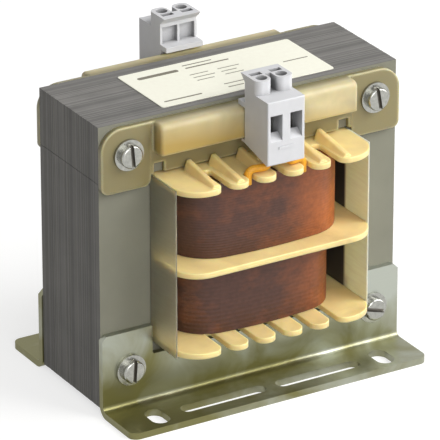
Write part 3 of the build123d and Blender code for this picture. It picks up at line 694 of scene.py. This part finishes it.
def widen_slots(piece, depth, width):
    """Opens the narrow slots in the tops of the terminal posts to a width."""
    pick_none("VERT")
    top = max(vertex.co.z for vertex in piece.data.vertices)
    corners = [
        vertex.co.copy() for vertex in piece.data.vertices if abs(vertex.co.z - top + depth) < SAME_PLACE
    ]
    near, far = min(corner.y for corner in corners), max(corner.y for corner in corners)
    for vertex in piece.data.vertices:
        vertex.select = any((vertex.co.xy - corner.xy).length < SAME_PLACE for corner in corners)
    bpy.ops.object.mode_set(mode="EDIT")
    bpy.ops.transform.resize(
        value=(1, width / (far - near), 1), center_override=(0, (near + far) / 2, top)
    )
    bpy.ops.object.mode_set(mode="OBJECT")


class TRANSFORMER_OT_sheet_stacks(bpy.types.Operator):
    """Builds the stacks of E and I sheets"""

    bl_idname = "transformer.sheet_stacks"
    bl_label = "Sheet stacks"

    def execute(self, context):
        sizes, colours = panel_values(context)
        steel = lamination_steel(colours, sizes)
        thickness = sizes.sheet_pitch - sizes.sheet_gap

        # E sheet: the yoke first, then its three legs drawn up
        low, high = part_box("e_laminations")
        yoke_high = Vector((high.x, high.y, low.z + sizes.yoke_height))
        sheet = one_sheet("e_sheet_stack", low, yoke_high, thickness)
        cuts = [low.x + sizes.leg_width, -sizes.leg_width, sizes.leg_width, high.x - sizes.leg_width]
        bpy.ops.object.mode_set(mode="EDIT")
        for x in cuts:
            bpy.ops.mesh.select_all(action="SELECT")
            bpy.ops.mesh.bisect(plane_co=(x, 0, 0), plane_no=(1, 0, 0))
        # Faces, because in vertex mode the windows between two legs would be picked too
        pick_none("FACE")
        for face in sheet.data.polygons:
            in_leg = abs(face.center.x) < sizes.leg_width or abs(face.center.x) > high.x - sizes.leg_width
            face.select = face.normal.z > 0.9 and in_leg
        bpy.ops.object.mode_set(mode="EDIT")
        bpy.ops.mesh.extrude_region_move(TRANSFORM_OT_translate={"value": (0, 0, high.z - yoke_high.z)})
        bpy.ops.object.mode_set(mode="OBJECT")
        punch_holes(sheet, bolt_axes(*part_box("lower_bolts")), sizes.bolt_hole)
        stack_up(sheet, high.y - low.y, sizes)
        settle(sheet, steel, "lamination_steel", "e_laminations")

        # I sheet: a plain bar across the legs
        low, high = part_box("i_laminations")
        low.z += sizes.seam
        sheet = one_sheet("i_sheet_stack", low, high, thickness)
        punch_holes(sheet, bolt_axes(*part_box("upper_bolts")), sizes.bolt_hole)
        stack_up(sheet, high.y - low.y, sizes)
        settle(sheet, steel, "lamination_steel", "i_laminations")
        return {"FINISHED"}


class TRANSFORMER_OT_coils(bpy.types.Operator):
    """Finishes both windings and the sleeved leads"""

    bl_idname = "transformer.coils"
    bl_label = "Coils and leads"

    def execute(self, context):
        sizes, colours = panel_values(context)
        dress_nodes(["primary_winding"], enamelled_wire(colours, sizes.primary_turn, painted_light_strength=0.75))
        dress_nodes(["secondary_winding"], enamelled_wire(colours, sizes.secondary_turn, painted_light_strength=0.5))
        dress_nodes(["primary_leads", "secondary_leads"], glass_sleeving(colours))
        return {"FINISHED"}


class TRANSFORMER_OT_former(bpy.types.Operator):
    """Builds the moulded coil former and finishes the window sheets"""

    bl_idname = "transformer.former"
    bl_label = "Coil former"

    def execute(self, context):
        sizes, colours = panel_values(context)
        piece = merged_copy("coil_former", "moulded_former")
        trim_rib_feet(piece, sizes.rib_foot)
        soften(piece, sizes.former_edge)
        nylon = natural_nylon("natural_nylon", colours.former, clearness=0.0, edge_round=sizes.former_shine)
        settle(piece, nylon, "former_nylon", "coil_former")
        clear = film_board("clear_polyester_film", colours, clearness=0.88)
        dress_nodes(["left_window_insulation"], clear)
        milky = film_board("milky_polyester_film", colours, clearness=0.3)
        dress_nodes(["right_window_insulation"], milky)
        return {"FINISHED"}


class TRANSFORMER_OT_carriers(bpy.types.Operator):
    """Builds the moulded terminal carriers"""

    bl_idname = "transformer.carriers"
    bl_label = "Terminal carriers"

    def execute(self, context):
        sizes, colours = panel_values(context)
        nylon = natural_nylon(
            "clear_natural_nylon", colours.carrier, clearness=0.4, edge_round=sizes.carrier_shine,
            deep=colours.carrier_deep, backed=colours.carrier_backed,
        )
        for end in ("front", "rear"):
            piece = merged_copy(f"{end}_terminal_carrier", f"{end}_moulded_carrier")
            soften(piece, sizes.carrier_edge)
            settle(piece, nylon, "carrier_nylon", f"{end}_terminal_carrier")
        return {"FINISHED"}


class TRANSFORMER_OT_terminals(bpy.types.Operator):
    """Builds the terminal housings and finishes their clamps"""

    bl_idname = "transformer.terminals"
    bl_label = "Terminals"

    def execute(self, context):
        sizes, colours = panel_values(context)
        polyamide = grey_polyamide(colours)
        clamp = plated_metal("nickel_plated_clamp", colours.clamp, roughness=0.35)
        for end in ("front", "rear"):
            piece = merged_copy(f"{end}_terminal_housing", f"{end}_moulded_housing")
            widen_slots(piece, sizes.slot_depth, sizes.slot_width)
            soften(piece, sizes.terminal_edge)
            settle(piece, polyamide, "terminal_grey", f"{end}_terminal_housing")
            dress_nodes([f"{end}_clamp_cages", f"{end}_clamp_screws"], clamp)
        return {"FINISHED"}


class TRANSFORMER_OT_brackets(bpy.types.Operator):
    """Builds the pressed mounting brackets"""

    bl_idname = "transformer.brackets"
    bl_label = "Mounting brackets"

    def execute(self, context):
        sizes, colours = panel_values(context)
        zinc = zinc_plate(colours)
        for end in ("front", "rear"):
            piece = merged_copy(f"{end}_mounting_bracket", f"{end}_pressed_bracket")
            soften(piece, sizes.pressed_edge)
            settle(piece, zinc, "zinc_bracket", f"{end}_mounting_bracket")
        return {"FINISHED"}


def slotted_heads(piece, turns, sizes):
    """Turns the plain heads of two bolts into smaller slotted heads, each on a washer ring."""
    axes = bolt_axes(Vector(piece.bound_box[0]), Vector(piece.bound_box[6]))
    top = min(vertex.co.y for vertex in piece.data.vertices)
    pick_none("VERT")
    for vertex in piece.data.vertices:
        vertex.select = vertex.co.y < top + sizes.head_height - SAME_PLACE
    bpy.ops.object.mode_set(mode="EDIT")
    bpy.ops.mesh.delete(type="VERT")
    bpy.ops.mesh.select_non_manifold(extend=False)
    bpy.ops.mesh.extrude_edges_move(TRANSFORM_OT_translate={"value": (0, -sizes.ring_height, 0)})
    bpy.ops.mesh.fill_holes(sides=0)
    pick_none("FACE")
    ring_top = top + sizes.head_height - sizes.ring_height
    for face in piece.data.polygons:
        face.select = abs(face.center.y - ring_top) < SAME_PLACE
    bpy.ops.object.mode_set(mode="EDIT")
    bpy.ops.mesh.inset(thickness=sizes.ring_width, use_individual=True)
    bpy.ops.mesh.extrude_region_move(
        TRANSFORM_OT_translate={"value": (0, sizes.ring_height - sizes.head_height, 0)}
    )
    bpy.ops.mesh.region_to_loop()
    bpy.ops.mesh.bevel(offset=sizes.head_round, segments=4, affect="EDGES")
    bpy.ops.mesh.select_all(action="SELECT")
    bpy.ops.mesh.normals_make_consistent(inside=False)
    bpy.ops.object.mode_set(mode="OBJECT")
    for (x, z), turn in zip(axes, turns):
        deselect_all()
        bpy.ops.mesh.primitive_cube_add(
            size=1, location=(x, top, z), rotation=(0, math.radians(turn), 0),
            scale=(sizes.driver_width, 2 * sizes.driver_depth, TOOL_LENGTH),
        )
        cutter = active_object()
        apply_modifier(piece, "BOOLEAN", object=cutter, operation="DIFFERENCE", solver="EXACT")
        bpy.data.objects.remove(cutter)
    piece.select_set(True)


def shade_slots(piece, turns, material, sizes):
    """Puts a second, darker finish in the slots, below the flat tops of the bolt heads, as painted shade.
    """
    piece.data.materials.append(material)
    top = min(vertex.co.y for vertex in piece.data.vertices)
    axes = bolt_axes(Vector(piece.bound_box[0]), Vector(piece.bound_box[6]))
    for (x, z), turn in zip(axes, turns):
        across_x, across_z = math.cos(math.radians(turn)), -math.sin(math.radians(turn))
        for face in piece.data.polygons:
            away_x, away_z = face.center.x - x, face.center.z - z
            across = abs(away_x * across_x + away_z * across_z)
            below = face.center.y - top
            in_slot = across < sizes.driver_width / 2 * SLACK and below < sizes.driver_depth * SLACK
            in_head = math.hypot(away_x, away_z) < TOOL_LENGTH / 2 and below > sizes.turned_edge
            if in_slot and in_head:
                face.material_index = 1


class TRANSFORMER_OT_fasteners(bpy.types.Operator):
    """Builds bolts, nuts and washers"""

    bl_idname = "transformer.fasteners"
    bl_label = "Fasteners"

    def execute(self, context):
        sizes, colours = panel_values(context)
        zinc = plated_metal("bright_zinc_plate", colours.zinc, roughness=0.2)
        # The slots of the bolt heads get a darker zinc, painted shade
        slot_shade_zinc = plated_metal("shaded_zinc_recess", colours.soil, roughness=0.5)
        for row in ("upper", "lower"):
            for kind in ("bolts", "washers", "lock_washers", "nuts"):
                piece = merged_copy(f"{row}_{kind}", f"{row}_plated_{kind}")
                if kind == "bolts":
                    slotted_heads(piece, SLOT_TURNS[row], sizes)
                soften(piece, sizes.turned_edge)
                settle(piece, zinc, "zinc_fastener", f"{row}_{kind}")
                if kind == "bolts":
                    shade_slots(piece, SLOT_TURNS[row], slot_shade_zinc, sizes)
        return {"FINISHED"}


class TRANSFORMER_OT_label(bpy.types.Operator):
    """Finishes the bare label and prints plain bars on it"""

    bl_idname = "transformer.label"
    bl_label = "Label"

    def execute(self, context):
        sizes, colours = panel_values(context)
        height = sizes.print_height
        dress_nodes(["rating_label"], label_paper("coated_label_paper", colours.paper))
        low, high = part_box("rating_label")
        ink = label_paper("grey_label_ink", colours.ink)
        bars = []
        for bar_sizes in PRINTED_BARS:
            left, rear, length, width = (size / 1000 for size in bar_sizes)
            place = (low.x + left + length / 2, high.y - rear, high.z + height / 2)
            bar = add_block(place, (length, width, height))
            pick_none("EDGE")
            for edge in bar.data.edges:
                ends = [bar.data.vertices[index].co for index in edge.vertices]
                edge.select = abs(ends[0].z - ends[1].z) > height / 2
            bpy.ops.object.mode_set(mode="EDIT")
            bpy.ops.mesh.bevel(offset=width * 0.4, segments=3)
            bpy.ops.object.mode_set(mode="OBJECT")
            bars.append(bar)
        deselect_all()
        for bar in bars:
            bar.select_set(True)
        bpy.context.view_layer.objects.active = bars[0]
        bpy.ops.object.join()
        piece = active_object()
        piece.name = "printed_bars"
        piece.data.name = "printed_bars"
        settle(piece, ink, "label_paper")
        return {"FINISHED"}


def seen_directly(tree):
    """One for rays from the camera, from reflections and through clear pieces, and zero for light."""
    path = add_node(tree, "ShaderNodeLightPath")
    seen = add_node(
        tree, "ShaderNodeMath", links={0: path.outputs["Is Camera Ray"], 1: path.outputs["Is Glossy Ray"]},
        operation="MAXIMUM",
    )
    clear = add_node(
        tree, "ShaderNodeMath", links={0: seen, 1: path.outputs["Is Transmission Ray"]}, operation="MAXIMUM"
    )
    # Light that a dull surface gathers through a clear one stays plain light
    first = add_node(
        tree, "ShaderNodeMath", {1: 0.5}, {0: path.outputs["Diffuse Depth"]}, operation="LESS_THAN"
    )
    eye = add_node(tree, "ShaderNodeMath", links={0: clear, 1: first}, operation="MULTIPLY")
    return eye.outputs[0]


class TRANSFORMER_OT_stage(bpy.types.Operator):
    """Sets the floor, the light and the camera"""

    bl_idname = "transformer.stage"
    bl_label = "Stage"

    def execute(self, context):
        stage = context.scene.transformer_stage
        colours = context.scene.transformer_colours
        context.scene.view_settings.view_transform = "Standard"

        # Floor, white to the eye and to metal, with the object's shadow on it
        deselect_all()
        bpy.ops.mesh.primitive_grid_add(x_subdivisions=4, y_subdivisions=4, size=stage.floor_size)
        floor = active_object()
        floor.name = "studio_floor"
        material, tree, shader = new_finish("matt_studio_paper")
        lift = add_node(
            tree, "ShaderNodeMapRange", {"To Max": stage.floor_lift}, {"Value": seen_directly(tree)}
        )
        set_inputs(
            tree, shader,
            {
                "Base Color": rgba(colours.floor), "Roughness": 0.9, "Specular IOR Level": 0.1,
                "Emission Color": (1, 1, 1, 1),
            },
            {"Emission Strength": lift},
        )
        dress(floor, material)

        # Even light all round, seen as white by the camera and in reflections
        world = bpy.data.worlds.new("studio_sky")
        context.scene.world = world
        world.use_nodes = True
        sky = world.node_tree
        strength = add_node(
            sky, "ShaderNodeMapRange", {"To Min": stage.sky, "To Max": 1.0}, {"Value": seen_directly(sky)}
        )
        set_inputs(sky, sky.nodes["Background"], {"Color": (1, 1, 1, 1)}, {"Strength": strength})

        # Soft lamps: a broad one at the right front, a low one at the right and one in front
        target = Vector(stage.target)
        for name, towards, power, size in (
            ("key_lamp", (0.75, -0.7, 0.95), stage.key, 0.9),
            ("side_lamp", (1.0, -0.3, 0.35), stage.side, 0.7),
            ("fill_lamp", (-0.22, -1.0, 0.45), stage.fill, 0.8),
        ):
            place = target + Vector(towards).normalized() * stage.lamp_distance
            deselect_all()
            bpy.ops.object.light_add(type="AREA", location=place)
            lamp = active_object()
            lamp.name = name
            lamp.data.energy = power
            lamp.data.size = size
            lamp.rotation_mode = "QUATERNION"
            lamp.rotation_quaternion = (target - place).to_track_quat("-Z", "Y")

        # Camera at the height and turn of the photograph
        turn, tilt = stage.azimuth, stage.elevation
        back_off = Vector(
            (math.sin(turn) * math.cos(tilt), -math.cos(turn) * math.cos(tilt), math.sin(tilt))
        )
        deselect_all()
        bpy.ops.object.camera_add(location=target + back_off * stage.distance)
        camera = active_object()
        camera.name = "photo_camera"
        camera.rotation_mode = "QUATERNION"
        camera.rotation_quaternion = (-back_off).to_track_quat("-Z", "Y")
        camera.data.sensor_width = 36.0
        camera.data.lens = stage.lens
        camera.data.clip_start = 0.05
        camera.data.clip_end = 30.0
        context.scene.camera = camera
        return {"FINISHED"}


OPERATORS = (
    TRANSFORMER_OT_sheet_stacks,
    TRANSFORMER_OT_coils,
    TRANSFORMER_OT_former,
    TRANSFORMER_OT_carriers,
    TRANSFORMER_OT_terminals,
    TRANSFORMER_OT_brackets,
    TRANSFORMER_OT_fasteners,
    TRANSFORMER_OT_label,
    TRANSFORMER_OT_stage,
)


class TRANSFORMER_PT_sidebar(bpy.types.Panel):
    """Lists the steps that dress the transformer"""

    bl_idname = "TRANSFORMER_PT_sidebar"
    bl_label = "Safety transformer"
    bl_space_type = "VIEW_3D"
    bl_region_type = "UI"
    bl_category = "Transformer"

    def draw(self, context):
        for operator in OPERATORS:
            self.layout.operator(operator.bl_idname)
        for group in ("transformer_sizes", "transformer_colours", "transformer_stage"):
            values = getattr(context.scene, group)
            box = self.layout.box()
            for name in values.bl_rna.properties.keys():
                if name not in ("rna_type", "name"):
                    box.prop(values, name)


CLASSES = (TransformerSizes, TransformerColours, TransformerStage) + OPERATORS + (TRANSFORMER_PT_sidebar,)


def register():
    """Makes the classes and their settings known to Blender."""
    for cls in CLASSES:
        bpy.utils.register_class(cls)
    bpy.types.Scene.transformer_sizes = PointerProperty(type=TransformerSizes)
    bpy.types.Scene.transformer_colours = PointerProperty(type=TransformerColours)
    bpy.types.Scene.transformer_stage = PointerProperty(type=TransformerStage)


def unregister():
    """Takes the settings and the classes out again."""
    del bpy.types.Scene.transformer_stage
    del bpy.types.Scene.transformer_colours
    del bpy.types.Scene.transformer_sizes
    for cls in reversed(CLASSES):
        bpy.utils.unregister_class(cls)


def main():
    """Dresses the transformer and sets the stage."""
    register()
    bpy.ops.transformer.sheet_stacks()
    bpy.ops.transformer.coils()
    bpy.ops.transformer.former()
    bpy.ops.transformer.carriers()
    bpy.ops.transformer.terminals()
    bpy.ops.transformer.brackets()
    bpy.ops.transformer.fasteners()
    bpy.ops.transformer.label()
    bpy.ops.transformer.stage()


if __name__ == "__main__":
    main()
